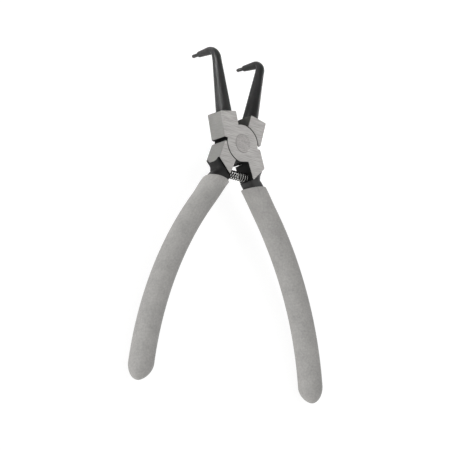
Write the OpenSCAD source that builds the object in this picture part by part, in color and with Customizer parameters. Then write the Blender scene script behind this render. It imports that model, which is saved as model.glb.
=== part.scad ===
// Internal circlip pliers with 90 degree bent jaws, a half-lap rivet joint and sleeved handles.
// Millimetres. The origin is on the pivot axis at the underside of the ground joint.
// +Y points to the jaws, +Z to the side that the tips point away from.

/* [Joint] */
// Thickness of the joint over its two ground faces
joint_t = 10.5; // [9:0.5:13]
// Radius of the round lap disc on each lever
disc_r = 9.6; // [9:0.1:10.2]
// Gap between a disc and the shoulder that runs round it
shoulder_gap = 0.4; // [0.2:0.05:0.6]
// Gap between the two lap faces
lap_gap = 0.1; // [0.05:0.01:0.2]
// Flat ground on the edges of the joint blocks
edge_chamfer = 0.35; // [0.2:0.05:0.6]
// Angle the levers can open past rest before their blocks meet
stop_angle = 9.9; // [9.5:0.1:12]
// Direction of the middle of the stop slot, above the X axis
slot_lean = 0.8; // [0:0.1:2]

/* [Rivet] */
// Radius of the rivet's shank
rivet_r = 3; // [2.5:0.1:3.5]
// Radius of the flush countersunk heads
rivet_head_r = 4.9; // [4:0.1:6]
// Running clearance round the shank in the back lever
rivet_run_gap = 0.05; // [0.02:0.01:0.1]
// Clearance round the shank in the front lever, which holds it
rivet_hold_gap = 0.02; // [0.01:0.01:0.03]

/* [Jaw block] */
// Angle of the block's side walls from the Y axis
upper_lean = 15.5; // [14.5:0.1:18]
// Width across the side walls
upper_w = 9.7; // [9:0.1:11]
// Distance of the inner wall from the pivot axis
upper_in = 0.55; // [0.5:0.05:1.5]
// Length of the inner wall from the pivot axis
upper_len = 16.55; // [14:0.05:18]

/* [Handle block] */
// Angle of the block's side walls from the Y axis
lower_lean = 23.3; // [21:0.1:25]
// Width across the side walls
lower_w = 9.1; // [8.5:0.1:10]
// Distance of the inner wall from the pivot axis
lower_in = 0.1; // [0:0.05:0.6]
// Length of the outer wall from the pivot axis
lower_out_len = 14.75; // [13.5:0.05:16]
// Length of the inner wall from the pivot axis
lower_in_len = 18.6; // [17:0.1:19.5]

/* [Jaw] */
// Angle of the jaw from the Y axis
jaw_lean = 11.6; // [10:0.1:13]
// Distance of the jaw's axis from the block's inner wall, at the block's top
jaw_set = 3.55; // [3.4:0.05:4.5]
// Length of the jaw from the block's top to the corner of its bend
jaw_len = 32.6; // [25:0.1:45]
// Radius of the jaw at the block's top
jaw_root_r = 3.95; // [3.5:0.05:4]
// Radius of the jaw at the bend
jaw_end_r = 2.3; // [2:0.05:2.6]
// Bend radius of the jaw's axis
bend_r = 4.5; // [2.8:0.1:6]
// Angle through which the jaw bends into the nose
bend_angle = 86.5; // [84:0.5:92]

/* [Nose] */
// Length of the nose from the corner of the bend to its shoulder
nose_drop = 13.7; // [10:0.1:25]
// Radius of the nose at its shoulder
nose_end_r = 1.5; // [1.4:0.05:2]
// Inward lean of the nose
nose_lean = 1.9; // [0:0.1:3]

/* [Tip pin] */
// Radius of the pin that enters the circlip's hole
pin_r = 0.9; // [0.5:0.05:1]
// Length of the pin below the nose
pin_len = 5.3; // [3:0.1:6]
// Radius of the shank pressed into the nose
pin_shank_r = 1.1; // [1.05:0.05:1.2]
// Depth of the shank in the nose
pin_shank_len = 5; // [3:0.1:6]
// Chamfer on the pin's free end
pin_chamfer = 0.2; // [0.1:0.05:0.4]

/* [Handle] */
// Direction of the handle where the tang starts, from the Y axis
handle_lean = 40.7; // [38:0.1:43]
// Bend radius of the handle
handle_r = 175.5; // [150:0.5:220]
// Distance from the handle block's point to the start of the tang
neck_len = 3.5; // [3:0.1:7]
// Direction of the neck above its bend, from the Y axis
neck_lean = 9.7; // [6:0.1:14]
// Bend radius of the neck's axis
neck_bend_r = 6.5; // [5.5:0.1:9]
// Distance of the handle's axis from the handle block's inner wall, where the tang starts
handle_set = 1.9; // [1.6:0.05:4]
// Width of the tang inside the sleeve
tang_w = 7.8; // [6:0.1:8.4]
// Thickness of the tang inside the sleeve
tang_t = 8; // [6:0.1:9]
// Radius of the tang's long edges
tang_edge_r = 2.6; // [1:0.1:2.8]
// Length of the tang along its curve
tang_len = 98; // [60:0.5:102]

/* [Sleeve] */
// Distance from the start of the tang to the sleeve's top, along the handle's axis
grip_top = 1; // [0.5:0.1:2]
// Slant of the sleeve's top, which is lower on the outer side
grip_cut = 20; // [0:1:24]
// Length of the sleeve along its curve
grip_len = 111.8; // [108:0.2:140]
// Width of the sleeve in the plane of the pliers
grip_w = 10.8; // [10.2:0.1:12.5]
// Thickness of the sleeve
grip_t = 13.1; // [12:0.1:16]
// Clearance between parts that are pressed together
press_gap = 0.02; // [0.01:0.01:0.05]

/* [Return spring] */
// Distance of the spring's axis below the pivot
spring_drop = 15; // [14:0.1:15.5]
// Outer radius of the coil
spring_r = 2.3; // [1.8:0.1:2.5]
// Diameter of the wire
wire_d = 0.6; // [0.4:0.05:0.8]
// Number of turns
spring_turns = 14; // [8:1:16]
// Clearance round the coil in its pockets
pocket_gap = 0.2; // [0.1:0.05:0.4]
// Depth of each pocket below the inner wall
pocket_depth = 2.9; // [2:0.1:3.5]

/* [Hidden] */
$fn = 64;

mid_z = joint_t / 2;
shoulder_r = disc_r + shoulder_gap;
margin = 1;

// Unit directions along and across the walls of each block, on the right-hand side
upper_along = [sin(upper_lean), cos(upper_lean)];
upper_across = [cos(upper_lean), -sin(upper_lean)];
lower_along = [sin(lower_lean), -cos(lower_lean)];
lower_across = [cos(lower_lean), sin(lower_lean)];

// Ends of the stop slot: the outer walls end on two lines through the pivot
upper_stop = slot_lean + stop_angle / 2;
lower_stop = slot_lean - stop_angle / 2;
upper_stop_r = (upper_in + upper_w) / cos(upper_stop + upper_lean);
lower_stop_r = (lower_in + lower_w) / cos(lower_stop - lower_lean);

// Rise of the jaw block's top per unit of width: it is square to the jaw
top_rise = tan(upper_lean - jaw_lean);

// Outlines of the two blocks on the right-hand side, each drawn in to the pivot axis
upper_outline = [
    upper_stop_r * [cos(upper_stop), sin(upper_stop)],
    upper_along * (upper_len + upper_w * top_rise) + upper_across * (upper_in + upper_w),
    upper_along * upper_len + upper_across * upper_in,
    upper_across * upper_in
];
lower_outline = [
    lower_stop_r * [cos(lower_stop), sin(lower_stop)],
    lower_across * lower_in,
    lower_along * lower_in_len + lower_across * lower_in,
    lower_along * lower_out_len + lower_across * (lower_in + lower_w)
];

// Jaw: its foot on the block's top, and the distance from the bend's corner to its ends
jaw_foot = upper_along * (upper_len + jaw_set * top_rise) + upper_across * (upper_in + jaw_set);
jaw_sink = 3;
bend_reach = bend_r * tan(bend_angle / 2);
jaw_taper = (jaw_root_r - jaw_end_r) / (jaw_len - bend_reach);
nose_len = nose_drop - bend_reach;
nose_step = 0.1;
nose_lap = 0.5;

// Handle: an arc that starts below the handle block
handle_start = lower_along * (lower_in_len + neck_len) + lower_across * (lower_in + handle_set);
handle_centre = handle_start - handle_r * [cos(handle_lean), sin(handle_lean)];
degrees_per_mm = 180 / (PI * handle_r);
tang_sweep = tang_len * degrees_per_mm;

// Sleeve: its arc rises past the start of the tang, as far as the slanted top's inner side needs
grip_sweep = (grip_top + grip_len - grip_w / 2) * degrees_per_mm;
grip_rise = (grip_w / 2 * tan(grip_cut) - grip_top + margin) * degrees_per_mm;

// Neck: a round root inside the handle block, a straight stretch and a bend into the handle's arc
neck_step = 0.15;
neck_lap = 1;
neck_sink = 4.5;
neck_root = lower_along * lower_out_len + lower_across * (lower_in + lower_w / 2);
neck_centre = handle_start + neck_bend_r * [cos(handle_lean), sin(handle_lean)];
neck_top = neck_centre - neck_bend_r * [cos(neck_lean), sin(neck_lean)];

// Return spring: it reaches from the bottom of one pocket to the other
wall_x = (lower_in + sin(lower_lean) * spring_drop) / cos(lower_lean);
pocket_end = wall_x + pocket_depth;
pocket_r = spring_r + pocket_gap;
coil_r = spring_r - wire_d / 2;
coil_reach = pocket_end - press_gap - wire_d / 2;
end_pitch = 1.2 * wire_d;
open_pitch = (2 * coil_reach - 2 * end_pitch) / (spring_turns - 2);
rings_per_turn = 20;
wire_sides = 6;

// Turns a shape over to the other side of the joint
module turned_over() {
    translate([0, 0, joint_t]) rotate([0, 180, 0]) children();
}

// Carries a shape from the middle of the handle's section to an angle on the handle's arc
module on_handle(angle) {
    translate([handle_centre.x, handle_centre.y, mid_z]) rotate([0, 0, angle]) children();
}

// A block of full joint thickness with its edges chamfered
module block(outline) {
    hull() {
        linear_extrude(joint_t) offset(delta = -edge_chamfer) polygon(outline);
        translate([0, 0, edge_chamfer]) linear_extrude(joint_t - 2 * edge_chamfer) polygon(outline);
    }
}

// The lap disc, from the lap face up to the ground face
module lap_disc() {
    foot_z = mid_z + lap_gap / 2;
    translate([0, 0, foot_z]) cylinder(r = disc_r, h = joint_t - edge_chamfer - foot_z);
    translate([0, 0, joint_t - edge_chamfer])
        cylinder(r1 = disc_r, r2 = disc_r - edge_chamfer, h = edge_chamfer);
}

// Shank and two countersunk heads, made larger all round by gap
module rivet_shape(gap) {
    head_h = rivet_head_r - rivet_r;
    rotate_extrude() polygon([
        [0, 0],
        [rivet_head_r + gap, 0],
        [rivet_r + gap, head_h],
        [rivet_r + gap, joint_t - head_h],
        [rivet_head_r + gap, joint_t],
        [0, joint_t]
    ]);
}

// Section of the tang, made larger all round by gap
module tang_section(gap) {
    w = tang_w + 2 * gap;
    t = tang_t + 2 * gap;
    r = tang_edge_r + gap;
    square([w, t - 2 * r], center = true);
    square([w - 2 * r, t], center = true);
    for (x = [-1, 1], y = [-1, 1])
        translate([x * (w / 2 - r), y * (t / 2 - r)]) circle(r);
}

// The tang along the handle's arc, made larger all round by gap and carried on upwards by an angle
module tang(gap, rise) {
    on_handle(handle_lean - tang_sweep) rotate_extrude(angle = tang_sweep + rise)
        translate([handle_r, 0]) tang_section(gap);
}

// Rounded forging that runs from the handle block through a bend into the tang.
// Each stretch is a little slimmer than the next one, which it runs into.
module neck() {
    lap_angle = neck_lap * 180 / (PI * neck_bend_r);
    translate([neck_root.x, neck_root.y, mid_z]) sphere(r = lower_w / 2 - neck_step);
    translate([neck_top.x, neck_top.y, mid_z]) rotate([0, 0, neck_lean]) rotate([-90, 0, 0])
        translate([0, 0, -neck_lap]) linear_extrude(neck_sink + neck_lap) tang_section(-2 * neck_step);
    translate([neck_centre.x, neck_centre.y, mid_z]) rotate([0, 0, 180 + neck_lean])
        rotate_extrude(angle = handle_lean - neck_lean + lap_angle)
            translate([neck_bend_r, 0]) tang_section(-neck_step);
}

// One forging without its jaw: the jaw block on the left, the handle on the right, the disc on top
module forging(rivet_gap) {
    difference() {
        union() {
            difference() {
                union() {
                    mirror([1, 0, 0]) block(upper_outline);
                    block(lower_outline);
                    neck();
                }
                translate([0, 0, -margin]) cylinder(r = shoulder_r, h = mid_z + lap_gap / 2 + margin);
            }
            lap_disc();
            tang(0, 0);
        }
        rivet_shape(rivet_gap);
        translate([0, -spring_drop, mid_z]) rotate([0, 90, 0]) cylinder(r = pocket_r, h = pocket_end);
    }
}

// Places a shape on the right jaw: Y along the jaw from the block's top, Z up along the leaning nose
module on_jaw() {
    translate([jaw_foot.x, jaw_foot.y, mid_z]) rotate([0, 0, -jaw_lean]) rotate([0, nose_lean, 0]) children();
}

// Places a shape on the right nose: Z up along it, from the end of the bend
module on_nose() {
    on_jaw() translate([0, jaw_len - bend_reach, -bend_r]) rotate([90 - bend_angle, 0, 0])
        translate([0, bend_r, 0]) children();
}

// The right jaw: a round taper, a bend, and a slightly slimmer nose that runs into the bend, with its pin's bore
module jaw() {
    difference() {
        union() {
            on_jaw() translate([0, -jaw_sink, 0]) rotate([-90, 0, 0])
                cylinder(r1 = jaw_root_r + jaw_sink * jaw_taper, r2 = jaw_end_r,
                         h = jaw_len - bend_reach + jaw_sink);
            on_jaw() translate([0, jaw_len - bend_reach, -bend_r]) rotate([0, -90, 0])
                rotate_extrude(angle = bend_angle) translate([bend_r, 0]) circle(jaw_end_r);
            on_nose() translate([0, 0, -nose_len])
                cylinder(r1 = nose_end_r, r2 = jaw_end_r - nose_step, h = nose_len + nose_lap);
        }
        on_nose() translate([0, 0, -nose_len - margin])
            cylinder(r = pin_shank_r + press_gap, h = pin_shank_len + press_gap + margin);
    }
}

// The right tip pin: a shank in the nose and a thinner pin below it
module tip_pin() {
    on_nose() translate([0, 0, -nose_len]) {
        cylinder(r = pin_shank_r, h = pin_shank_len);
        translate([0, 0, -pin_len + pin_chamfer]) cylinder(r = pin_r, h = pin_len - pin_chamfer);
        translate([0, 0, -pin_len]) cylinder(r1 = pin_r - pin_chamfer, r2 = pin_r, h = pin_chamfer);
    }
}

// Section of the sleeve: straight sides and round upper and lower edges
module grip_section() {
    r = grip_w / 2;
    square([grip_w, grip_t - grip_w], center = true);
    for (y = [-1, 1]) translate([0, y * (grip_t / 2 - r)]) circle(r);
}

// The right sleeve: an arc with a slanted top and a rounded end, over the tang
module grip() {
    difference() {
        union() {
            on_handle(handle_lean - grip_sweep) rotate_extrude(angle = grip_sweep + grip_rise)
                translate([handle_r, 0]) grip_section();
            on_handle(handle_lean - grip_sweep) translate([handle_r, 0, 0]) rotate([0, 0, 180])
                rotate_extrude(angle = 180) intersection() {
                    grip_section();
                    translate([0, -grip_t]) square([grip_w, 2 * grip_t]);
                }
        }
        tang(press_gap, 2 * grip_rise);
        on_handle(handle_lean - grip_top * degrees_per_mm) translate([handle_r, 0, 0]) rotate([0, 0, -grip_cut])
            translate([-grip_t, 0, -grip_t]) cube([2 * grip_t, grip_t, 2 * grip_t]);
    }
}

// Point on the spring's centre line, measured along the spring's axis, after a number of turns
function coil_x(turn) = -coil_reach + (
    turn < 1 ? turn * end_pitch :
    turn > spring_turns - 1 ? 2 * coil_reach - (spring_turns - turn) * end_pitch :
    end_pitch + (turn - 1) * open_pitch);

// Ring of points round the wire after a number of turns
function wire_ring(turn) = [
    for (i = [0 : wire_sides - 1])
        let (b = 360 * i / wire_sides, r = coil_r + wire_d / 2 * cos(b))
        [coil_x(turn) + wire_d / 2 * sin(b), -spring_drop + r * cos(360 * turn), mid_z + r * sin(360 * turn)]
];

module front_lever() {
    color("dimgray") union() {
        forging(rivet_hold_gap);
        mirror([1, 0, 0]) jaw();
    }
}

module back_lever() {
    color("dimgray") union() {
        turned_over() forging(rivet_run_gap);
        jaw();
    }
}

module pivot_rivet() {
    color("silver") rivet_shape(0);
}

module return_spring() {
    rings = spring_turns * rings_per_turn;
    n = wire_sides;
    color("slategray") polyhedron(
        points = [for (k = [0 : rings]) each wire_ring(k / rings_per_turn)],
        faces = concat(
            [[for (i = [0 : n - 1]) i]],
            [for (k = [0 : rings - 1], i = [0 : n - 1])
                [k * n + i, (k + 1) * n + i, (k + 1) * n + (i + 1) % n, k * n + (i + 1) % n]],
            [[for (i = [n - 1 : -1 : 0]) rings * n + i]]
        )
    );
}

module front_grip() {
    color("darkgray") grip();
}

module back_grip() {
    color("darkgray") turned_over() grip();
}

module front_tip_pin() {
    color("gray") mirror([1, 0, 0]) tip_pin();
}

module back_tip_pin() {
    color("gray") tip_pin();
}

front_lever();
back_lever();
pivot_rivet();
return_spring();
front_grip();
back_grip();
front_tip_pin();
back_tip_pin();
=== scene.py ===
"""Looks of the internal circlip pliers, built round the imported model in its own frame.

Shapes are worked out in millimetres as numpy arrays and written to the meshes in metres.
+Y points to the jaws and +Z along the pivot, away from the side that the tips point to.
"""

import bmesh
import bpy
import numpy as np
from mathutils import Matrix, Vector


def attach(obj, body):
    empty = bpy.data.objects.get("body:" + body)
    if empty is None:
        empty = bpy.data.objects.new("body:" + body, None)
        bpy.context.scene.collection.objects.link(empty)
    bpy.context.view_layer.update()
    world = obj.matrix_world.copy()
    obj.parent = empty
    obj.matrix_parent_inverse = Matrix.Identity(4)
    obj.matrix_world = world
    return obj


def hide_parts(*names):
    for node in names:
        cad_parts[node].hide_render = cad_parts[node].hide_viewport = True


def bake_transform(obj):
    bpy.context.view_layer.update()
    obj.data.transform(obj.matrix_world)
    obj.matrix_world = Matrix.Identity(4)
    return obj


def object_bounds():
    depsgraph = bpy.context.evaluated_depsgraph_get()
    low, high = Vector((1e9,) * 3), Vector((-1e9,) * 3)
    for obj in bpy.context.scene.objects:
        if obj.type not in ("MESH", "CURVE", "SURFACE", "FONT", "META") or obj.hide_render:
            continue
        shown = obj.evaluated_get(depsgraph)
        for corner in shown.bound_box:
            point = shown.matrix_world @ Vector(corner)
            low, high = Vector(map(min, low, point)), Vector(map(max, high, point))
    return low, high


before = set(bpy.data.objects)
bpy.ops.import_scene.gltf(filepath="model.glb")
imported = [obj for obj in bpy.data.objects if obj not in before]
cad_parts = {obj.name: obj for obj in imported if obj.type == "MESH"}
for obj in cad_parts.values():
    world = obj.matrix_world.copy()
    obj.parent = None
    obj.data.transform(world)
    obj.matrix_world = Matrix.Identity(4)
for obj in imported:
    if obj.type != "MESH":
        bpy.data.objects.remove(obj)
cad_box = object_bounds()

# Lengths are in millimetres and angles in degrees unless a comment says otherwise
MM = 0.001

# Joint: lap disc with a straight foot, the shoulder that the other disc turns in, and the stop slot
JOINT_T = 10.5
MID_Z = JOINT_T / 2
LAP_GAP = 0.05
LAP_Z = MID_Z + LAP_GAP
DISC_R = 9.6
FOOT_LEAN = 10.3
FOOT_OUT = 9.14
SHOULDER_R = 10.0
STOP_ANGLE = 9.9
SLOT_LEAN = 0.8
EDGE_R = 0.22
CORNER_CUT = 0.5
STOP_CORNER_CUT = 0.28

# Jaw block and handle block, on the right-hand side; their outer walls have a lean of their own
UPPER_LEAN = 15.5
UPPER_W = 9.7
UPPER_IN = 0.55
UPPER_LEN = 16.55
UPPER_WALL_LEAN = 14.0
UPPER_WALL_PROUD = 0.1
LOWER_LEAN = 23.3
LOWER_W = 9.1
LOWER_IN = 0.1
LOWER_OUT_LEN = 14.75
LOWER_IN_LEN = 18.6
LOWER_WALL_LEAN = 19.5
LOWER_WALL_PROUD = 0.15

# A jaw's or neck's root stays this far inside the plane of the wall that it is ground flush with
FLUSH_SKIN = 0.02

# Rivet: its sizes, shares of radius, dish and height for the points between, and its innermost ring
RIVET_R = 4.9
RIVET_PROUD = 0.14
RIVET_EDGE = 0.3
RIVET_DISH = 0.02
RIVET_MID = 0.55
RIVET_MID_DISH = 0.6
RIVET_RIM = 0.9
RIVET_AXIS_R = 0.02

# Jaw and nose
JAW_LEAN = 11.6
JAW_SET = 3.55
JAW_LEN = 32.6
JAW_SINK = 3.0
JAW_ROOT_R = 3.95
JAW_END_R = 2.3
JAW_FLAT_SLOPE = 0.15
BEND_ANGLE = 86.5
BEND_OUTER_R = 8.0
BEND_INNER_R = 0.4
BEND_CLEAR = 0.1
NOSE_LEN = 13.7
NOSE_LEAN = 1.9
NOSE_ROOT_R = 2.05
NOSE_END_R = 1.5
NOSE_EDGE = 0.3

# Tip pin
PIN_R = 0.9
PIN_LEN = 5.3
PIN_SINK = 4.0
PIN_END_ROUND = 0.7

# Neck and handle; taper, bulge, flare and crease go by the distance from the neck's sunk end
HANDLE_LEAN = 40.7
HANDLE_R = 175.5
HANDLE_SET = 1.9
NECK_LEN = 3.5
NECK_LEAN = 9.7
NECK_BEND_R = 6.5
NECK_SINK = 6.5
NECK_IN_SLEEVE = 9.0
NECK_ROOT_W = 11.6
NECK_ROOT_T = 9.2
NECK_W = 8.4
NECK_T = 8.2
NECK_TAPER_LEN = 9.75
NECK_POWER = 3.2
NECK_BULGE = 0.9
NECK_BULGE_LEN = 6.0
NECK_FLARE_FROM = 5.0
NECK_FLARE_LEN = 5.0
NECK_FLARE_SHIFT = 1.0
NECK_FLARE_W = 0.15
NECK_CREASE = 0.3
NECK_CREASE_SIDE = 0.4
NECK_CREASE_AT = 5.5
NECK_CREASE_LEN = 0.7

# Sleeve
SLEEVE_TOP = 0.5
SLEEVE_CUT = 28.0
SLEEVE_CUT_FADE = 25.0
SLEEVE_FOOT = 112.8
SLEEVE_W = 10.8
SLEEVE_T = 13.1
SLEEVE_POWER = 2.15
SLEEVE_END = 8.0
SLEEVE_END_POWER = 1.8
SLEEVE_LIP = 0.5
FRONT_SLEEVE_SLIM = 0.35
BACK_SLEEVE_SLIM = 0.0
SLEEVE_SLIM_LEN = 34.0
FRONT_SLEEVE_SHIFT = 0.6
BACK_SLEEVE_SHIFT = 0.9
SLEEVE_SHIFT_LEN = 14.0
SLEEVE_END_SKEW = 0.85
SLEEVE_BORE_W = 8.6
SLEEVE_BORE_T = 8.7
SLEEVE_BORE_DEPTH = 8.0

# Return spring; the pitch of its close end turns is in wire diameters
SPRING_DROP = 15.3
SPRING_R = 2.3
WIRE_D = 0.6
SPRING_TURNS = 14
CLOSE_PITCH = 1.2
POCKET_DEPTH = 2.9

# Points round a section
JAW_POINTS = 48
PIN_POINTS = 32
NECK_POINTS = 96
SLEEVE_POINTS = 72
RIVET_POINTS = 96
WIRE_POINTS = 12

# Points along a curve
ARC_STEPS = 48
FOOT_STEPS = 8
SHOULDER_STEPS = 28
JAW_STEPS = 40
BEND_STEPS = 25
NOSE_STEPS = 16
NOSE_EDGE_STEPS = 5
PIN_END_STEPS = 8
NECK_SINK_STEPS = 24
NECK_BEND_STEPS = 20
NECK_SLEEVE_STEPS = 12
BORE_RINGS = 2
SLEEVE_LIP_STEPS = 8
SLEEVE_STEPS = 90
SLEEVE_END_STEPS = 24
STEPS_PER_TURN = 36

# Meshes: points nearer than this, in metres, are one point; edges flatter than the angle are shaded smooth
MERGE_WITHIN = 1e-7
SMOOTH_ANGLE = 40.0

# Patterns: sizes and depths; grain, streaks and mottling are drawn coarser than real so that they show
STREAK_SIZE = 0.4
STREAK_STRETCH = (0.06, 1.0, 0.12)
FORGING_CLOUD = 4.0
FORGING_GRAIN = 0.45
RIVET_MOTTLE = 0.5
PIN_GRAIN = 0.5
WIRE_GRAIN = 0.6
VINYL_CLOUD = 7.0
VINYL_GRAIN = 0.9
STEEL_RELIEF = 0.03
VINYL_RELIEF = 0.08

# Ground finish of the levers: how deep it reaches behind a wall, round an edge and past the jaw block
WALL_SKIN = 0.06
EDGE_SHARE = 0.7
GROUND_PAST = 1.0
GROUND_ROUGH = (0.42, 0.56)
GROUND_TONES = ("#8c8a88", "#afadab")
# Each lever's ground faces have tones of their own, the back's a little darker: painted light and shade on
# lit and shaded copies
FRONT_GROUND_TONES = ("#888684", "#b9b7b5")
BACK_GROUND_TONES = ("#868482", "#b4b2b0")

# From 0 to 1: share of the walls' darker tone, a painted shade; the cloud's share in the forging's paleness,
# and that paleness at the jaw's end; and shares of the finer patterns
WALL_SHADE = 0.72
CLOUD_WEAR = 0.4
JAW_END_PALENESS = 0.75
MOTTLE_SHARE = 0.4
VINYL_GRAIN_SHARE = 0.6

# Wire: depths in diameters where the painted glint on its outside starts and is full, and where painted shade
# at its left end is full, with the glint's share there
WIRE_GLINT_START = 0.16
WIRE_GLINT_FULL = 0.02
SHADED_END_X = -5.0
SHADED_END_SHARE = 0.05

# Camera, fitted to the photograph: its turn, its distance, and how far the pivot is from the picture's middle
VIEW_YAW = -38.848
VIEW_PITCH = -14.089
VIEW_ROLL = 1.720
VIEW_DISTANCE = 700.0
PIVOT_Z = 5.5
PIVOT_RIGHT = 5.7
PIVOT_UP = 39.182
LENS = 113.31
SENSOR = 36.0

# Room: reach of the floor in metres, and the strength of the paper's own glow and of the room's light
FLOOR_REACH = 3.0
PAPER_GLOW = 0.8
ROOM_LIGHT = 0.6


def unit(angle):
    """Unit vectors at angles in degrees, from +X towards +Y."""
    a = np.radians(angle)
    return np.stack([np.cos(a), np.sin(a)], axis=-1)


def mirrored(points):
    """The points with X turned to the other side."""
    return points * np.where(np.arange(points.shape[-1]) == 0, -1.0, 1.0)


def turned_over(points):
    """Half a turn about the Y axis through the middle of the joint: X and Z both change sides."""
    return points * np.array([-1.0, 1.0, -1.0]) + np.array([0.0, 0.0, JOINT_T])


def smooth_step(x):
    """0 below 0, 1 above 1, and 3x^2 - 2x^3 between."""
    x = np.clip(x, 0.0, 1.0)
    return x * x * (3.0 - 2.0 * x)


def section(count, power):
    """Superellipse |x|^p + |y|^p = 1 as points from +X round to +Y."""
    a = np.arange(count) * 2.0 * np.pi / count
    c = np.cos(a)
    s = np.sin(a)
    x = np.sign(c) * np.abs(c) ** (2 / power)
    y = np.sign(s) * np.abs(s) ** (2 / power)
    return np.stack([x, y], axis=-1)


def mesh_object(name, points, faces, material):
    """A closed mesh of points in millimetres, doubles merged, with only its steep edges sharp."""
    mesh = bpy.data.meshes.new(name)
    mesh.from_pydata((points * MM).tolist(), [], faces)
    work = bmesh.new()
    work.from_mesh(mesh)
    bmesh.ops.remove_doubles(work, verts=work.verts, dist=MERGE_WITHIN)
    bmesh.ops.recalc_face_normals(work, faces=work.faces)
    for face in work.faces:
        face.smooth = len(face.verts) <= 4
    wide = [face for face in work.faces if not face.smooth]
    bmesh.ops.triangulate(work, faces=wide, ngon_method="BEAUTY")
    work.to_mesh(mesh)
    work.free()
    mesh.set_sharp_from_angle(angle=np.radians(SMOOTH_ANGLE))
    mesh.materials.append(material)
    piece = bpy.data.objects.new(name, mesh)
    bpy.context.scene.collection.objects.link(piece)
    return piece


def ring_faces(first, second, count):
    """Quads between two closed rings of count points that start at two indices."""
    i = np.arange(count)
    j = (i + 1) % count
    return np.stack([first + i, first + j, second + j, second + i], axis=1).tolist()


def swept(name, rings, material):
    """Skin over an array of rings (ring, point, xyz), closed at each end by a fan to the ring's middle."""
    count = rings.shape[1]
    last = (len(rings) - 1) * count
    points = np.concatenate([rings.reshape(-1, 3), rings[:1].mean(axis=1), rings[-1:].mean(axis=1)])
    start = np.arange(len(rings) - 1)[:, None] * count
    i = np.arange(count)
    j = (i + 1) % count
    quads = np.stack([start + i, start + j, start + count + j, start + count + i], axis=-1).reshape(-1, 4)
    foot = len(points) - 2
    first_fan = np.stack([np.full(count, foot), j, i], axis=1)
    last_fan = np.stack([np.full(count, foot + 1), last + i, last + j], axis=1)
    faces = quads.tolist() + first_fan.tolist() + last_fan.tolist()
    return mesh_object(name, points, faces, material)


def carried(path, side, up, half_w, half_t, shape):
    """Rings of a section carried along a path: path + half_w x side + half_t y up, for each section point."""
    across = (half_w[:, None] * shape[None, :, 0])[..., None] * side[:, None, :]
    along = (half_t[:, None] * shape[None, :, 1])[..., None] * up[:, None, :]
    return path[:, None, :] + across + along


def revolved(profile, count):
    """Rings of a profile (radius, height) turned about Z."""
    a = np.arange(count) * 2.0 * np.pi / count
    r = profile[:, 0][:, None]
    z = np.broadcast_to(profile[:, 1][:, None], (len(profile), count))
    return np.stack([r * np.cos(a), r * np.sin(a), z], axis=-1)


def eased(chain, cuts, steps=5):
    """An open chain with its inner corners rounded by quadratic curves that start and end a cut away."""
    parts = [chain[:1]]
    t = np.linspace(0.0, 1.0, steps)[:, None]
    for before, corner, after, cut in zip(chain[:-2], chain[1:-1], chain[2:], cuts):
        to_before = (before - corner) / np.linalg.norm(before - corner)
        to_after = (after - corner) / np.linalg.norm(after - corner)
        start = corner + cut * to_before
        end = corner + cut * to_after
        parts.append((1 - t) ** 2 * start + 2 * t * (1 - t) * corner + t ** 2 * end)
    parts.append(chain[-1:])
    return np.concatenate(parts)


def inset(outline, distance):
    """A closed counter-clockwise outline moved inwards, each point along the mitre of its two edges."""
    ahead = np.roll(outline, -1, axis=0) - outline
    ahead /= np.linalg.norm(ahead, axis=1, keepdims=True)
    normal_ahead = np.stack([ahead[:, 1], -ahead[:, 0]], axis=1)
    normal_behind = np.roll(normal_ahead, 1, axis=0)
    mitre = normal_ahead + normal_behind
    mitre /= 1.0 + np.sum(normal_ahead * normal_behind, axis=1, keepdims=True)
    return outline - distance * mitre


def rounded_edge(outline, radius, steps=4):
    """Rings from an upright wall over a quarter round to a flat face: x, y and height over the wall."""
    a = np.linspace(0.0, np.pi / 2, steps)
    rings = []
    for c, s in zip(np.cos(a), np.sin(a)):
        height = np.full(len(outline), radius * s)
        rings.append(np.column_stack([inset(outline, radius * (1 - c)), height]))
    return np.array(rings)


# Directions along and across the blocks on the right, angles of their stop faces, and their corners
upper_along = unit(90 - UPPER_LEAN)
upper_across = unit(-UPPER_LEAN)
lower_along = unit(LOWER_LEAN - 90)
lower_across = unit(LOWER_LEAN)
upper_stop = SLOT_LEAN + STOP_ANGLE / 2
lower_stop = SLOT_LEAN - STOP_ANGLE / 2
top_rise = np.tan(np.radians(UPPER_LEAN - JAW_LEAN))
inner_end = upper_along * UPPER_LEN + upper_across * UPPER_IN
upper_side = UPPER_IN + UPPER_W + UPPER_WALL_PROUD
upper_corner = upper_along * (UPPER_LEN + UPPER_W * top_rise) + upper_across * upper_side
lower_side = LOWER_IN + LOWER_W + LOWER_WALL_PROUD
lower_corner = lower_along * LOWER_OUT_LEN + lower_across * lower_side

# Outward directions of the blocks' outer walls on the right, and their distances from the pivot axis
upper_face = unit(-UPPER_WALL_LEAN)
upper_out = upper_corner @ upper_face
lower_face = unit(LOWER_WALL_LEAN)
lower_out = lower_corner @ lower_face


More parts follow.
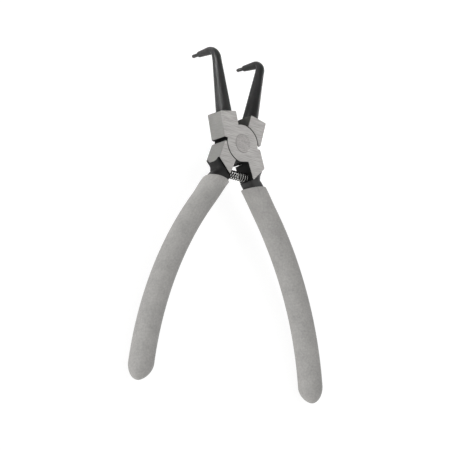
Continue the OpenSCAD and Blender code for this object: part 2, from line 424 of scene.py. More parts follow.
def joint_shape():
    """Points and faces of a lever's joint: the lap disc with two blocks that reach below the lap face.

    The upper outline runs round disc and blocks, and the disc's foot is cut straight between the handle
    blocks. Below the lap face each block ends at the round shoulder.
    """
    def on_wall(along, across, offset, radius):
        return across * offset + along * np.sqrt(radius ** 2 - offset ** 2)

    def angle_of(point):
        return np.degrees(np.arctan2(point[1], point[0])) % 360

    corner_cuts = (CORNER_CUT, CORNER_CUT, STOP_CORNER_CUT)
    handle_chain = eased(np.array([
        on_wall(lower_along, lower_across, LOWER_IN, SHOULDER_R),
        lower_along * LOWER_IN_LEN + lower_across * LOWER_IN,
        lower_corner,
        unit(lower_stop) * lower_out / np.cos(np.radians(lower_stop - LOWER_WALL_LEAN)),
        unit(lower_stop) * SHOULDER_R,
    ]), corner_cuts)
    jaw_chain = eased(mirrored(np.array([
        on_wall(upper_along, upper_across, UPPER_IN, SHOULDER_R),
        inner_end,
        upper_corner,
        unit(upper_stop) * upper_out / np.cos(np.radians(upper_stop + UPPER_WALL_LEAN)),
        unit(upper_stop) * SHOULDER_R,
    ])), corner_cuts)
    jaw_wall = angle_of(mirrored(on_wall(upper_along, upper_across, UPPER_IN, DISC_R)))
    foot_way = unit(FOOT_LEAN - 90)
    foot_start = DISC_R * unit(270 + FOOT_LEAN - np.degrees(np.arccos(FOOT_OUT / DISC_R)))
    foot_reach = (FOOT_OUT - LOWER_IN * (lower_across @ foot_way)) / (lower_along @ foot_way)
    foot_end = lower_across * LOWER_IN + lower_along * foot_reach
    right_arc = DISC_R * unit(np.linspace(lower_stop, jaw_wall, ARC_STEPS))
    left_arc = DISC_R * unit(np.linspace(180 - upper_stop, angle_of(foot_start), ARC_STEPS))
    left_arc = np.concatenate([left_arc, np.linspace(foot_start, foot_end, FOOT_STEPS)[1:]])
    outline = np.concatenate([handle_chain, right_arc, jaw_chain, left_arc])
    count = len(outline)

    wall = np.column_stack([outline, np.full(count, LAP_Z)])
    edge = rounded_edge(outline, EDGE_R) + np.array([0, 0, JOINT_T - EDGE_R])
    points = [wall, edge.reshape(-1, 3)]
    faces = []
    for k in range(len(edge)):
        faces += ring_faces(k * count, (k + 1) * count, count)
    faces.append([len(edge) * count + i for i in range(count)])
    total = count * (1 + len(edge))

    shoulders = []
    for chain in (handle_chain, jaw_chain):
        turn = (angle_of(chain[0]) - angle_of(chain[-1]) + 180) % 360 - 180
        share = np.linspace(0, 1, SHOULDER_STEPS)[1:-1]
        arc = SHOULDER_R * unit(angle_of(chain[-1]) + turn * share)
        foot = np.concatenate([chain, arc])
        n = len(foot)
        top = np.column_stack([foot, np.full(n, LAP_Z)])
        low = rounded_edge(foot, EDGE_R) * np.array([1, 1, -1]) + np.array([0, 0, EDGE_R])
        points += [top, low.reshape(-1, 3)]
        for k in range(len(low)):
            faces += ring_faces(total + (k + 1) * n, total + k * n, n)
        faces.append([total + len(low) * n + i for i in range(n)][::-1])
        shoulders.append([total + len(chain) + i for i in range(len(arc))][::-1])
        total += n * (1 + len(low))

    first_arc = len(handle_chain)
    second_chain = first_arc + len(right_arc)
    second_arc = second_chain + len(jaw_chain)
    lap_face = list(range(first_arc - 1, second_chain + 1)) + shoulders[1]
    lap_face += list(range(second_arc - 1, count)) + [0] + shoulders[0]
    faces.append(lap_face[::-1])
    return np.concatenate(points), faces


# The nose's direction: along the jaw, and up from it
nose_way = unit(-BEND_ANGLE)


def bend_side(turn, from_jaw, from_nose, radius):
    """One side of the jaw's bend as (along the jaw, up): an arc tangent to two lines.

    One line runs along the jaw and one along the nose, at signed distances outwards from their axes, which
    meet at the bend's corner.
    """
    bend = np.radians(BEND_ANGLE)
    centre_z = from_jaw - radius
    centre_y = JAW_LEN + (from_nose - radius - np.cos(bend) * centre_z) / np.sin(bend)
    return np.stack([centre_y + radius * np.sin(turn), centre_z + radius * np.cos(turn)], axis=1)


def jaw_rings():
    """Rings of the right jaw: a round taper, a bend and the tapered nose, in the pliers' frame.

    Each ring of the bend spans from its tight inner side to its wide outer side. The root is ground flat
    with the block's inner wall, and the flat runs out on a slope above the block.
    """
    turn = np.radians(np.linspace(0, BEND_ANGLE, BEND_STEPS))
    outer = bend_side(turn, JAW_END_R, NOSE_ROOT_R, BEND_OUTER_R)
    inner = bend_side(turn, -JAW_END_R, -NOSE_ROOT_R, BEND_INNER_R)
    corner = np.array([JAW_LEN, 0.0])
    bend_start = min(outer[0, 0], inner[0, 0]) - BEND_CLEAR
    nose_start = max((outer[-1] - corner) @ nose_way, (inner[-1] - corner) @ nose_way) + BEND_CLEAR

    straight = np.linspace(-JAW_SINK, bend_start, JAW_STEPS)
    straight_r = JAW_ROOT_R + (JAW_END_R - JAW_ROOT_R) * straight / bend_start
    edge = np.radians(np.linspace(0, 90, NOSE_EDGE_STEPS))[1:]
    drop = np.concatenate([
        np.linspace(nose_start, NOSE_LEN - NOSE_EDGE, NOSE_STEPS),
        NOSE_LEN - NOSE_EDGE + NOSE_EDGE * np.sin(edge),
    ])
    nose_r = np.interp(drop, [nose_start, NOSE_LEN], [NOSE_ROOT_R, NOSE_END_R])
    nose_r[-len(edge):] -= NOSE_EDGE * (1 - np.cos(edge))
    nose_out = unit(90 - BEND_ANGLE)

    middle = np.concatenate([
        np.column_stack([straight, np.zeros(len(straight))]),
        (outer + inner) / 2,
        corner + drop[:, None] * nose_way,
    ])
    reach = np.concatenate([
        np.column_stack([np.zeros(len(straight)), straight_r]),
        (outer - inner) / 2,
        nose_r[:, None] * nose_out,
    ])
    bend_r = JAW_END_R + (NOSE_ROOT_R - JAW_END_R) * smooth_step(turn / turn[-1])
    half_w = np.concatenate([straight_r, bend_r, nose_r])
    zero = np.zeros(len(middle))
    path = np.column_stack([zero, middle])
    up = np.column_stack([zero, reach])
    side = np.column_stack([zero + 1, zero, zero])
    rings = on_jaw(carried(path, side, up, half_w, zero + 1, section(JAW_POINTS, 2)))
    across = rings[..., :2] @ upper_across
    above = rings[..., :2] @ upper_along - UPPER_LEN
    wall = UPPER_IN + FLUSH_SKIN - JAW_FLAT_SLOPE * np.maximum(above, 0.0)
    rings[..., :2] += (np.maximum(across, wall) - across)[..., None] * upper_across
    return rings


def on_jaw(points):
    """Places points on the right jaw: Y along it from the block's top, Z up along the leaning nose."""
    foot = upper_along * (UPPER_LEN + JAW_SET * top_rise) + upper_across * (UPPER_IN + JAW_SET)
    lean = Matrix.Rotation(np.radians(-JAW_LEAN), 3, "Z")
    turn = lean @ Matrix.Rotation(np.radians(NOSE_LEAN), 3, "Y")
    return points @ np.array(turn).T + np.array([foot[0], foot[1], MID_Z])


def pin_rings():
    """Rings of the right tip pin: a round pin with a rounded end, sunk into the nose."""
    a = np.radians(np.linspace(0, 90, PIN_END_STEPS))
    end = np.column_stack([PIN_R * np.cos(a), -PIN_LEN + PIN_END_ROUND * (1 - np.sin(a))])[:-1]
    shank = np.array([[PIN_R, 0.0], [PIN_R, PIN_SINK]])
    profile = np.concatenate([end[::-1], shank])
    rings = revolved(profile, PIN_POINTS)
    sink = NOSE_LEN - rings[..., 2:]
    across = rings[..., 1:2] * np.array([0.0, -nose_way[1], nose_way[0]])
    side = rings[..., :1] * np.array([1.0, 0.0, 0.0])
    return on_jaw(np.array([0.0, JAW_LEN, 0.0]) + side + across + sink * np.array([0.0, *nose_way]))


# Top of the handle's arc on the right, and the arc's centre
handle_start = lower_along * (LOWER_IN_LEN + NECK_LEN) + lower_across * (LOWER_IN + HANDLE_SET)
handle_centre = handle_start - HANDLE_R * unit(HANDLE_LEAN)


def on_handle(distance):
    """Points and outward directions of the handle's arc, at distances below the top of the sleeve."""
    angle = HANDLE_LEAN - np.degrees(distance / HANDLE_R)
    return handle_centre + HANDLE_R * unit(angle), unit(angle)


def in_space(flat, z):
    """Points of the pliers' plane at a height."""
    return np.column_stack([flat, np.full(len(flat), z)])


def neck_rings():
    """Rings of the right neck: from inside the handle block, round a bend and into the sleeve.

    It bulges where it leaves the block, with a low forged crease, and flares outwards towards the sleeve.
    What stands out past the block's ground outer wall is ground flush with it, and the inner wall stays flat.
    """
    bend_centre = handle_start + NECK_BEND_R * unit(HANDLE_LEAN)
    lean = np.linspace(NECK_LEAN, HANDLE_LEAN, NECK_BEND_STEPS)
    bend = bend_centre - NECK_BEND_R * unit(lean)
    down = unit(NECK_LEAN - 90)
    sink = np.linspace(-NECK_SINK, 0, NECK_SINK_STEPS)[:-1, None]
    inside, inside_out = on_handle(np.linspace(0, NECK_IN_SLEEVE, NECK_SLEEVE_STEPS)[1:])
    flat = np.concatenate([bend[0] + sink * down, bend, inside])
    out = np.concatenate([np.broadcast_to(unit(NECK_LEAN), (len(sink), 2)), unit(lean), inside_out])
    step = np.linalg.norm(np.diff(flat, axis=0), axis=1)
    reach = np.concatenate([[0], np.cumsum(step)])
    run = smooth_step(reach / NECK_TAPER_LEN)
    up = np.broadcast_to([0.0, 0.0, 1.0], (len(flat), 3))
    bulge = NECK_BULGE * (1 - smooth_step(reach / NECK_BULGE_LEN))
    flare = smooth_step((reach - NECK_FLARE_FROM) / NECK_FLARE_LEN)
    crease = NECK_CREASE * np.exp(-((reach - NECK_CREASE_AT) / NECK_CREASE_LEN) ** 2)
    half_w = (NECK_ROOT_W + (NECK_W - NECK_ROOT_W) * run) / 2
    half_w = half_w + bulge + NECK_FLARE_W * flare + crease * NECK_CREASE_SIDE
    half_t = (NECK_ROOT_T + (NECK_T - NECK_ROOT_T) * run) / 2 + crease
    path = in_space(flat + (bulge + NECK_FLARE_SHIFT * flare)[:, None] * out, MID_Z)
    rings = carried(path, in_space(out, 0.0), up, half_w, half_t, section(NECK_POINTS, NECK_POWER))
    inward = rings[..., :2] @ lower_across
    below = rings[..., :2] @ lower_along
    nearest = np.where(below < LOWER_IN_LEN, LOWER_IN + FLUSH_SKIN, -np.inf)
    rings[..., :2] += (np.maximum(inward, nearest) - inward)[..., None] * lower_across
    outward = rings[..., :2] @ lower_face
    rings[..., :2] += (np.minimum(outward, lower_out - FLUSH_SKIN) - outward)[..., None] * lower_face
    return rings


def sleeve_rings(slim_by, shift_by):
    """Rings of the right sleeve: bore, rolled lip, long curved outside and a rounded closed end.

    The top is cut on a slant, so each point there slides along the handle with its distance from the axis.
    It is slimmer by slim_by on each side and set outwards by shift_by. The end leans outwards.
    """
    a = np.linspace(0, np.pi / 2, SLEEVE_LIP_STEPS)
    lip_in = SLEEVE_LIP * (1 - np.sin(a))
    lip_down = SLEEVE_LIP * (1 - np.cos(a))
    end = np.linspace(0, 1, SLEEVE_END_STEPS)[1:-1]
    end = np.sin(end * np.pi / 2)
    distance = np.concatenate([
        [SLEEVE_TOP + SLEEVE_BORE_DEPTH, SLEEVE_TOP + SLEEVE_LIP],
        SLEEVE_TOP + lip_down,
        np.linspace(SLEEVE_TOP + SLEEVE_LIP, SLEEVE_FOOT - SLEEVE_END, SLEEVE_STEPS)[1:],
        SLEEVE_FOOT - SLEEVE_END + SLEEVE_END * end,
    ])
    shrink = np.concatenate([
        np.zeros(BORE_RINGS + len(a) + SLEEVE_STEPS - 1),
        1 - (1 - end ** SLEEVE_END_POWER) ** (1 / SLEEVE_END_POWER),
    ])
    half_w = np.full(len(distance), SLEEVE_W / 2)
    half_t = np.full(len(distance), SLEEVE_T / 2)
    half_w[:BORE_RINGS] = SLEEVE_BORE_W / 2
    half_t[:BORE_RINGS] = SLEEVE_BORE_T / 2
    slim = slim_by * (1 - smooth_step(distance / SLEEVE_SLIM_LEN))
    shift = shift_by * (1 - smooth_step(distance / SLEEVE_SHIFT_LEN))
    shift[-len(end):] += SLEEVE_END_SKEW * end ** 2
    half_w[BORE_RINGS:] -= slim[BORE_RINGS:]
    half_w[BORE_RINGS:BORE_RINGS + len(a)] -= lip_in
    half_t[BORE_RINGS:BORE_RINGS + len(a)] -= lip_in
    shape = section(SLEEVE_POINTS, SLEEVE_POWER)
    across = (half_w * (1 - shrink))[:, None] * shape[:, 0] + shift[:, None]
    height = (half_t * (1 - shrink))[:, None] * shape[:, 1]
    fade = 1 - smooth_step(distance / SLEEVE_CUT_FADE)
    slanted = distance[:, None] + fade[:, None] * np.tan(np.radians(SLEEVE_CUT)) * across
    flat, out = on_handle(slanted)
    flat = flat + across[..., None] * out
    return np.concatenate([flat, MID_Z + height[..., None]], axis=-1)


def rivet_rings():
    """Rings of the rivet: two slightly dished heads that stand a hair proud of the joint's faces."""
    head = np.array([
        [RIVET_AXIS_R, RIVET_PROUD - RIVET_DISH],
        [RIVET_R * RIVET_MID, RIVET_PROUD - RIVET_DISH * RIVET_MID_DISH],
        [RIVET_R - RIVET_EDGE * 2, RIVET_PROUD],
        [RIVET_R - RIVET_EDGE, RIVET_PROUD * RIVET_RIM],
        [RIVET_R, -RIVET_PROUD],
    ])
    upper = head + np.array([0, JOINT_T])
    lower = head * np.array([1, -1])
    return revolved(np.concatenate([lower, upper[::-1]]), RIVET_POINTS)


def spring_rings():
    """Rings of the coil spring: a helix about X with one close turn at each end."""
    lean = np.radians(LOWER_LEAN)
    wall_x = (LOWER_IN + np.sin(lean) * SPRING_DROP) / np.cos(lean)
    reach = wall_x + POCKET_DEPTH - WIRE_D / 2
    coil_r = SPRING_R - WIRE_D / 2
    close = CLOSE_PITCH * WIRE_D
    turn = np.linspace(0, SPRING_TURNS, SPRING_TURNS * STEPS_PER_TURN + 1)
    ends = [0, 1, SPRING_TURNS - 1, SPRING_TURNS]
    x = np.interp(turn, ends, [-reach, close - reach, reach - close, reach])
    a = turn * 2 * np.pi
    zero = np.zeros_like(a)
    outward = np.stack([zero, np.cos(a), np.sin(a)], axis=1)
    path = np.stack([x, zero - SPRING_DROP, zero + MID_Z], axis=1) + coil_r * outward
    along_x = np.broadcast_to([1.0, 0.0, 0.0], path.shape)
    half = np.full(len(a), WIRE_D / 2)
    return carried(path, along_x, outward, half, half, section(WIRE_POINTS, 2))


def linear(code):
    """Linear RGBA of an sRGB hex colour."""
    value = np.array([int(code[i:i + 2], 16) for i in (1, 3, 5)]) / 255
    value = np.where(value <= 0.04045, value / 12.92, ((value + 0.055) / 1.055) ** 2.4)
    return (*value.tolist(), 1.0)


def feed(tree, node, inputs):
    """Sets or links a node's inputs: a link is (node, output)."""
    for name, value in dict(inputs).items():
        if isinstance(value, tuple) and isinstance(value[0], bpy.types.Node):
            tree.links.new(value[0].outputs[value[1]], node.inputs[name])
        else:
            node.inputs[name].default_value = value


def add(tree, kind, settings=(), inputs=()):
    """Adds a node, sets its properties and feeds its inputs."""
    node = tree.nodes.new(kind)
    for name, value in dict(settings).items():
        setattr(node, name, value)
    feed(tree, node, inputs)
    return node


def calc(tree, operation, *values):
    """A math node for an operation on numbers or links."""
    return add(tree, "ShaderNodeMath", {"operation": operation}, enumerate(values))


def noise(tree, place, size, detail, roughness=0.5):
    """A noise texture with features of a size in millimetres on coordinates in metres."""
    return add(tree, "ShaderNodeTexNoise", inputs={
        "Vector": place, "Scale": 1.0 / (size * MM), "Detail": detail, "Roughness": roughness})


def remap(tree, value, low, high, start=0.0, end=1.0):
    """Turns values from start to end into values from low to high, and holds them beyond."""
    return add(tree, "ShaderNodeMapRange", inputs={
        "Value": value, "From Min": start, "From Max": end, "To Min": low, "To Max": high})


def ramp(tree, value, low, high, start=0.0, end=1.0):
    """Turns values from start to end into tones between two sRGB hex colours."""
    node = add(tree, "ShaderNodeValToRGB", inputs={"Fac": value})
    first, last = node.color_ramp.elements
    first.position = start
    first.color = linear(low)
    last.position = end
    last.color = linear(high)
    return node


def mix_tones(tree, share, first, second):
    """A mix of two colours; its colour sockets are inputs 6 and 7 and output 2."""
    return add(tree, "ShaderNodeMix", {"data_type": "RGBA"}, {0: share, 6: first, 7: second})


def mix_values(tree, share, first, second):
    """A mix of two numbers; its number sockets are inputs 2 and 3 and output 0."""
    return add(tree, "ShaderNodeMix", {"data_type": "FLOAT"}, {0: share, 2: first, 3: second})


def relief(tree, height, strength, depth):
    """A bump of a depth in millimetres."""
    return add(tree, "ShaderNodeBump", inputs={
        "Height": height, "Strength": strength, "Distance": depth * MM})


def new_material(name):
    """An empty node material with its tree, its shader and a link to Object coordinates in metres."""
    material = bpy.data.materials.new(name)
    material.use_nodes = True
    tree = material.node_tree
    shader = tree.nodes["Principled BSDF"]
    coordinates = add(tree, "ShaderNodeTexCoord")
    return material, tree, shader, (coordinates, "Object")


def grinding_streaks(tree, place):
    """Fine streaks of a grinding wheel, drawn out along X and less along Z."""
    stretched = add(tree, "ShaderNodeMapping", inputs={"Vector": place, "Scale": STREAK_STRETCH})
    return noise(tree, (stretched, 0), STREAK_SIZE, 3.0, 0.6)


def lever_steel(name, sheen, painted_lift, ground_tones=GROUND_TONES):
    """Black phosphated forging whose flat faces and outer walls are ground bright.

    The phosphate gives a soft dark sheen with fine grain and is paler towards the jaw's end; the number after
    the sheen lifts the black at the pivot and on the neck as painted light. The grinding leaves pale satin
    steel with streaks between two tones, darker on the walls as painted shade.
    """
    material, tree, shader, place = new_material(name)
    axes = add(tree, "ShaderNodeSeparateXYZ", inputs={"Vector": place})
    side = calc(tree, "ABSOLUTE", (axes, "X"))

    def wall(across, offset, compare, gate):
        """1 where a point is past a wall's plane, as compare says, and on the half that gate picks by Y."""
        dot_x = calc(tree, "MULTIPLY", (side, 0), float(across[0]))
        dot = calc(tree, "MULTIPLY_ADD", (axes, "Y"), float(across[1]), (dot_x, 0))
        past = calc(tree, compare, (dot, 0), offset * MM)
        half = calc(tree, gate, (axes, "Y"), 0.0)
        return calc(tree, "MULTIPLY", (past, 0), (half, 0))

    # Masks: the outer walls, the inside between the jaw blocks, the flat faces, and all that is ground
    upper_wall = wall(upper_face, upper_out - WALL_SKIN, "GREATER_THAN", "GREATER_THAN")
    lower_wall = wall(lower_face, lower_out - WALL_SKIN, "GREATER_THAN", "LESS_THAN")
    inner_side = wall(upper_across, UPPER_IN + WALL_SKIN, "LESS_THAN", "GREATER_THAN")
    below_jaw = calc(tree, "LESS_THAN", (axes, "Y"), float(inner_end[1]) * MM)
    inner_wall = calc(tree, "MULTIPLY", (inner_side, 0), (below_jaw, 0))
    from_middle = calc(tree, "SUBTRACT", (axes, "Z"), MID_Z * MM)
    height = calc(tree, "ABSOLUTE", (from_middle, 0))
    high = calc(tree, "GREATER_THAN", (height, 0), (MID_Z - EDGE_R * EDGE_SHARE) * MM)
    near = calc(tree, "LESS_THAN", (axes, "Y"), (UPPER_LEN + GROUND_PAST) * MM)
    flat = calc(tree, "MULTIPLY", (high, 0), (near, 0))
    walls = calc(tree, "MAXIMUM", (upper_wall, 0), (lower_wall, 0))
    ground = calc(tree, "MAXIMUM", (walls, 0), (flat, 0))
    below_flat = calc(tree, "SUBTRACT", 1.0, (flat, 0))
    wall_only = calc(tree, "MULTIPLY", (walls, 0), (below_flat, 0))

    # Patterns: streaks of the grinding, grain of the phosphate, and a paleness that changes along the lever
    # with random cloud, plus painted light that a copy adds at the pivot
    streaks = grinding_streaks(tree, place)
    cloud = noise(tree, place, FORGING_CLOUD, 2.0)
    grain = noise(tree, place, FORGING_GRAIN, 3.0)
    # Paler towards the jaw's end; the copy's painted light lifts it at the pivot and on the neck
    paling_and_painted_light = remap(tree, (axes, "Y"), painted_lift, JAW_END_PALENESS, 0.0, (UPPER_LEN + JAW_LEN) * MM)
    wear_and_painted_light = calc(tree, "MULTIPLY_ADD", (cloud, "Fac"), CLOUD_WEAR, (paling_and_painted_light, 0))

    # Tones: pale ground faces, ground walls darkened as painted shade, black phosphate, and a lighter dark
    # grey painted on the inner walls between the jaw blocks as painted light
    wall_share = calc(tree, "MULTIPLY", (wall_only, 0), WALL_SHADE)
    ground_tone = ramp(tree, (streaks, "Fac"), *ground_tones, 0.25, 0.75)
    # The ground walls are mixed towards a darker grey: painted shade
    wall_tone = mix_tones(tree, (wall_share, 0), (ground_tone, "Color"), linear("#858582"))
    black_tone = ramp(tree, (wear_and_painted_light, 0), "#0a0a0a", "#1c1c1c", 0.1, 0.9)
    # A lighter grey on the inner walls between the jaw blocks: painted light
    dark_tone = mix_tones(tree, (inner_wall, 0), (black_tone, "Color"), linear("#343431"))
    tone = mix_tones(tree, (ground, 0), (dark_tone, 2), (wall_tone, 2))

    black_rough = remap(tree, (grain, "Fac"), 0.46, 0.58)
    ground_rough = remap(tree, (streaks, "Fac"), *GROUND_ROUGH)
    rough = mix_values(tree, (ground, 0), (black_rough, 0), (ground_rough, 0))
    grooves = mix_values(tree, (ground, 0), (grain, "Fac"), (streaks, "Fac"))
    bump = relief(tree, (grooves, 0), 0.4, STEEL_RELIEF)
    feed(tree, shader, {
        "Base Color": (tone, 2), "Metallic": (ground, 0), "Roughness": (rough, 0), "Normal": (bump, 0),
        "Specular IOR Level": sheen})
    return material


def ground_steel():
    """Ground steel of the rivet: pale satin metal, mottled, with the same streaks as the joint's faces."""
    material, tree, shader, place = new_material("ground_rivet_steel")
    streaks = grinding_streaks(tree, place)
    mottle = noise(tree, place, RIVET_MOTTLE, 2.0)
    mixed = mix_values(tree, MOTTLE_SHARE, (streaks, "Fac"), (mottle, "Fac"))
    tone = ramp(tree, (mixed, 0), "#858382", "#aba8a6", 0.35, 0.65)
    rough = remap(tree, (streaks, "Fac"), *GROUND_ROUGH)
    bump = relief(tree, (streaks, "Fac"), 0.25, STEEL_RELIEF)
    feed(tree, shader, {
        "Base Color": (tone, "Color"), "Metallic": 1.0, "Roughness": (rough, 0), "Normal": (bump, 0)})
    return material


def tip_steel():
    """Hardened tip steel, blackened: satin and dark grey, a little paler where it is worn."""
    material, tree, shader, place = new_material("blackened_tip_steel")
    grain = noise(tree, place, PIN_GRAIN, 3.0)
    tone = ramp(tree, (grain, "Fac"), "#262626", "#40403e")
    rough = remap(tree, (grain, "Fac"), 0.5, 0.65)
    feed(tree, shader, {"Base Color": (tone, "Color"), "Roughness": (rough, 0), "Specular IOR Level": 0.2})
    return material


def spring_wire():
    """Oil-tempered spring wire, dark, with a painted glint on the outermost strip of each turn, so the inside
    of the coil stays dark as painted shade; painted shade also dims the glint towards the left end.
    """
    material, tree, shader, place = new_material("oil_tempered_spring_wire")
    axes = add(tree, "ShaderNodeSeparateXYZ", inputs={"Vector": place})
    from_y = calc(tree, "ADD", (axes, "Y"), SPRING_DROP * MM)
    from_z = calc(tree, "SUBTRACT", (axes, "Z"), MID_Z * MM)
    offset = add(tree, "ShaderNodeCombineXYZ", inputs={"Y": (from_y, 0), "Z": (from_z, 0)})
    radius = add(tree, "ShaderNodeVectorMath", {"operation": "LENGTH"}, {0: (offset, 0)})
    glint_start = (SPRING_R - WIRE_D * WIRE_GLINT_START) * MM
    glint_full = (SPRING_R - WIRE_D * WIRE_GLINT_FULL) * MM
    # Painted glint: only the outermost strip of each turn is bright, and painted shade dims it at the left
    # end
    outside = remap(tree, (radius, "Value"), 0.0, 1.0, glint_start, glint_full)
    along = remap(tree, (axes, "X"), SHADED_END_SHARE, 1.0, SHADED_END_X * MM, 0.0)
    bright = calc(tree, "MULTIPLY", (outside, 0), (along, 0))
    tone = ramp(tree, (bright, 0), "#0d0d0d", "#f0f0ec")
    grain = noise(tree, place, WIRE_GRAIN, 2.0)
    rough = remap(tree, (grain, "Fac"), 0.2, 0.3)
    feed(tree, shader, {"Base Color": (tone, "Color"), "Metallic": 1.0, "Roughness": (rough, 0)})
    return material


def sleeve_vinyl():
    """Dipped grey PVC: matt, warm grey, faintly mottled, with an orange-peel grain."""
    material, tree, shader, place = new_material("dipped_grey_vinyl")
    cloud = noise(tree, place, VINYL_CLOUD, 4.0)
    grain = noise(tree, place, VINYL_GRAIN, 3.0)
    mixed = mix_values(tree, VINYL_GRAIN_SHARE, (cloud, "Fac"), (grain, "Fac"))
    tone = ramp(tree, (mixed, 0), "#8f8e8c", "#adaba8", 0.3, 0.7)
    rough = remap(tree, (grain, "Fac"), 0.55, 0.7)
    bump = relief(tree, (grain, "Fac"), 0.5, VINYL_RELIEF)
    feed(tree, shader, {"Base Color": (tone, "Color"), "Roughness": (rough, 0), "Normal": (bump, 0)})
    return material


def flat_shaded_faces(piece):
    """Lets the large flat faces keep their own normals beside the rounded edges."""
    weighted = piece.modifiers.new("large_faces_stay_flat", "WEIGHTED_NORMAL")
    weighted.keep_sharp = True
    weighted.weight = 100


# The front lever's jaw and neck are glossier than the back lever's and painted paler, and each neck paler
# again: lit copies of one forging, painted light
front_steel = lever_steel("ground_front_joint_steel", 0.125, 0.0, FRONT_GROUND_TONES)
back_steel = lever_steel("ground_back_joint_steel", 0.06, 0.0, BACK_GROUND_TONES)
forging = lever_steel("phosphated_forging", 0.19, 0.0)
lit_front_forging = lever_steel("painted_light_phosphated_forging", 0.34, 0.6)
lit_back_neck = lever_steel("phosphated_neck", 0.24, 0.25)
lit_front_neck = lever_steel("painted_light_front_neck", 0.5, 1.0)
rivet_metal = ground_steel()
pin_metal = tip_steel()
wire = spring_wire()
vinyl = sleeve_vinyl()

joint_points, joint_faces = joint_shape()
front_joint = mesh_object("front_joint", joint_points, joint_faces, front_steel)
back_joint = mesh_object("back_joint", turned_over(joint_points), joint_faces, back_steel)
for joint in (front_joint, back_joint):
    flat_shaded_faces(joint)
front_neck = swept("front_neck", neck_rings(), lit_front_neck)
back_neck = swept("back_neck", turned_over(neck_rings()), lit_back_neck)
front_jaw = swept("front_jaw", mirrored(jaw_rings()), lit_front_forging)
back_jaw = swept("back_jaw", jaw_rings(), forging)
front_pin = swept("front_pin", mirrored(pin_rings()), pin_metal)
back_pin = swept("back_pin", pin_rings(), pin_metal)
front_sleeve = swept("front_sleeve", sleeve_rings(FRONT_SLEEVE_SLIM, FRONT_SLEEVE_SHIFT), vinyl)
back_sleeve_rings = turned_over(sleeve_rings(BACK_SLEEVE_SLIM, BACK_SLEEVE_SHIFT))
back_sleeve = swept("back_sleeve", back_sleeve_rings, vinyl)
rivet = swept("rivet", rivet_rings(), rivet_metal)
spring = swept("spring_coil", spring_rings(), wire)

for piece, body, node, slot in (
    (front_joint, "front", "front_lever", "forged_steel"),
    (front_neck, "front", "front_lever", "forged_steel"),
    (front_jaw, "front", "front_lever", "forged_steel"),
    (front_pin, "front", "front_tip_pin", "tip_steel"),
    (front_sleeve, "front", "front_grip", "pvc_sleeve"),
    (rivet, "front", "pivot_rivet", "ground_steel"),
    (back_joint, "back", "back_lever", "forged_steel"),
    (back_neck, "back", "back_lever", "forged_steel"),
    (back_jaw, "back", "back_lever", "forged_steel"),
    (back_pin, "back", "back_tip_pin", "tip_steel"),
    (back_sleeve, "back", "back_grip", "pvc_sleeve"),
):
    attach(piece, body)
    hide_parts(node)

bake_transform(spring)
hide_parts("return_spring")

# Floor: it touches the tips and the undersides of the sleeves' ends
low, high = cad_box
tip_end = np.array([high[1], low[2]])
sleeve_end = np.array([low[1] + SLEEVE_T / 2 * MM, (MID_Z - SLEEVE_T / 2) * MM])
slope = (tip_end[1] - sleeve_end[1]) / (tip_end[0] - sleeve_end[0])
floor_x = np.array([-1, 1, 1, -1]) * FLOOR_REACH
floor_y = np.array([-1, -1, 1, 1]) * FLOOR_REACH
floor_z = sleeve_end[1] + slope * (floor_y - sleeve_end[0])
floor_mesh = bpy.data.meshes.new("floor")
floor_mesh.from_pydata(np.column_stack([floor_x, floor_y, floor_z]).tolist(), [], [[0, 1, 2, 3]])
floor = bpy.data.objects.new("floor", floor_mesh)
bpy.context.scene.collection.objects.link(floor)
white, white_tree, white_shader, _ = new_material("white_paper_sweep")
feed(white_tree, white_shader, {
    "Base Color": linear("#9a9a9a"), "Roughness": 0.9,
    "Emission Color": (1.0, 1.0, 1.0, 1.0), "Emission Strength": PAPER_GLOW})
floor_mesh.materials.append(white)


def area_light(name, place, aim, size, power, spread=180.0):
    """A square area light at a place in metres that faces a point; spread is its beam's full angle."""
    data = bpy.data.lights.new(name, "AREA")
    data.size = size
    data.energy = power
    data.spread = np.radians(spread)
    light = bpy.data.objects.new(name, data)
    light.location = place
    light.rotation_euler = (Vector(aim) - Vector(place)).to_track_quat("-Z", "Y").to_euler()
    bpy.context.scene.collection.objects.link(light)


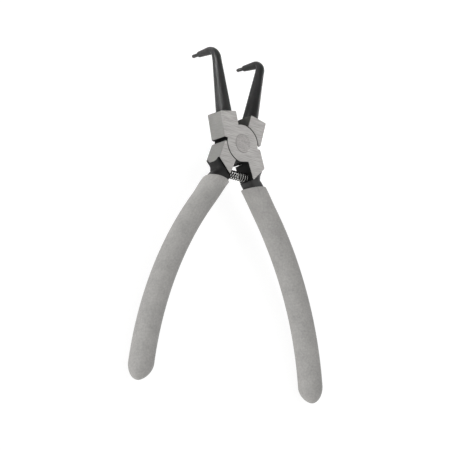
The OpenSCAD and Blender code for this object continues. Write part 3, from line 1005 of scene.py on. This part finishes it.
# Lights: softboxes on the left and above on the right, a fill, and narrow strips for the sheen of the jaws
area_light("left_softbox", (-1.9, 0.2, 0.45), (0.0, -0.02, 0.0), 0.8, 9.8)
area_light("lower_left_fill", (-1.2, -1.3, 0.5), (0.0, -0.06, 0.0), 0.6, 2.5)
area_light("left_jaw_strip", (-0.49, 0.17, 0.095), (-0.012, 0.062, 0.0), 0.12, 0.048, spread=10.0)
area_light("right_jaw_strip", (0.6, 0.13, -0.03), (0.01, 0.045, 0.0), 0.1, 0.05, spread=9.0)
area_light("top_softbox", (1.2, 0.5, 1.6), (0.0, -0.02, 0.0), 1.2, 6.4)

world = bpy.data.worlds.new("studio_room")
world.use_nodes = True
world.node_tree.nodes["Background"].inputs["Color"].default_value = (1.0, 1.0, 1.0, 1.0)
world.node_tree.nodes["Background"].inputs["Strength"].default_value = ROOM_LIGHT
bpy.context.scene.world = world
bpy.context.scene.view_settings.view_transform = "Standard"

# Camera: above the tool, turned to its left and towards its handles, and rolled a little
yaw = np.radians(VIEW_YAW)
pitch = np.radians(VIEW_PITCH)
roll = np.radians(VIEW_ROLL)
level_right = np.array([np.cos(yaw), 0.0, -np.sin(yaw)])
level_up = np.array([-np.sin(pitch) * np.sin(yaw), np.cos(pitch), -np.sin(pitch) * np.cos(yaw)])
backward = np.array([np.cos(pitch) * np.sin(yaw), np.sin(pitch), np.cos(pitch) * np.cos(yaw)])
right = np.cos(roll) * level_right + np.sin(roll) * level_up
upward = np.cos(roll) * level_up - np.sin(roll) * level_right
place = np.array([0, 0, PIVOT_Z]) - PIVOT_RIGHT * right - PIVOT_UP * upward + VIEW_DISTANCE * backward
camera_data = bpy.data.cameras.new("photo_camera")
camera_data.lens = LENS
camera_data.sensor_width = SENSOR
camera = bpy.data.objects.new("photo_camera", camera_data)
camera.matrix_world = Matrix((
    (right[0], upward[0], backward[0], place[0] * MM),
    (right[1], upward[1], backward[1], place[1] * MM),
    (right[2], upward[2], backward[2], place[2] * MM),
    (0, 0, 0, 1),
))
bpy.context.scene.collection.objects.link(camera)
bpy.context.scene.camera = camera
